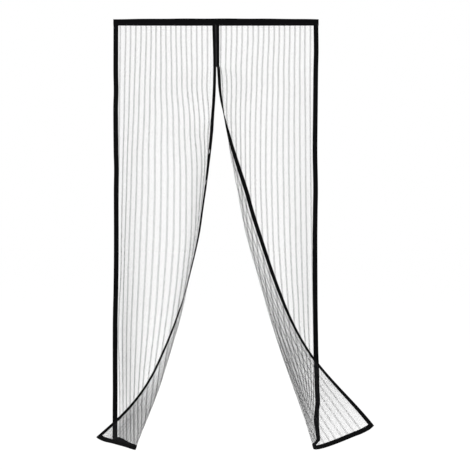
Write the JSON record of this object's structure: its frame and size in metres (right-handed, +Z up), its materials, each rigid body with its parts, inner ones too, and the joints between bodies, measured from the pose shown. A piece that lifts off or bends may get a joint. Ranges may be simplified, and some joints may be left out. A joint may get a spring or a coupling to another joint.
{
  "type": "magnetic insect screen",
  "caption": "Doorway insect screen: net panels hung from a fabric top binding, with magnets in the free edges, shown swung open and folded back towards the viewer.",
  "frame": {"origin": "middle of the back face of the top hook-and-loop tape, which goes against the door frame", "axes": "+Z up along the screen's length, +Y into the doorway out of the back of the screen, +X to the viewer's right"},
  "size_m": [1.156, 0.4487, 2.08],
  "materials": {
    "net": "sheer knitted net with denser upright stripes",
    "binding_tape": "matt black woven binding tape",
    "fastening_tape": "black hook-and-loop tape",
    "magnet": "plated bar magnet",
    "lead": "dull grey weight strip"
  },
  "bodies": {
    "root": {"top_binding": "binding_tape", "top_fastening_tape": "fastening_tape", "left_net_panel": "net", "left_side_binding": "binding_tape", "left_centre_binding": "binding_tape", "left_bottom_hem": "binding_tape", "left_hem_lead": "lead", "left_fastening_tape": "fastening_tape", "left_magnet_01": "magnet", "left_magnet_02": "magnet", "left_magnet_03": "magnet", "left_magnet_04": "magnet", "left_magnet_05": "magnet", "left_magnet_06": "magnet", "left_magnet_07": "magnet", "left_magnet_08": "magnet", "left_magnet_09": "magnet", "left_magnet_10": "magnet", "left_magnet_11": "magnet", "left_magnet_12": "magnet", "left_magnet_13": "magnet", "right_net_panel": "net", "right_side_binding": "binding_tape", "right_centre_binding": "binding_tape", "right_bottom_hem": "binding_tape", "right_hem_lead": "lead", "right_fastening_tape": "fastening_tape", "right_magnet_01": "magnet", "right_magnet_02": "magnet", "right_magnet_03": "magnet", "right_magnet_04": "magnet", "right_magnet_05": "magnet", "right_magnet_06": "magnet", "right_magnet_07": "magnet", "right_magnet_08": "magnet", "right_magnet_09": "magnet", "right_magnet_10": "magnet", "right_magnet_11": "magnet", "right_magnet_12": "magnet", "right_magnet_13": "magnet"}
  },
  "joints": []
}
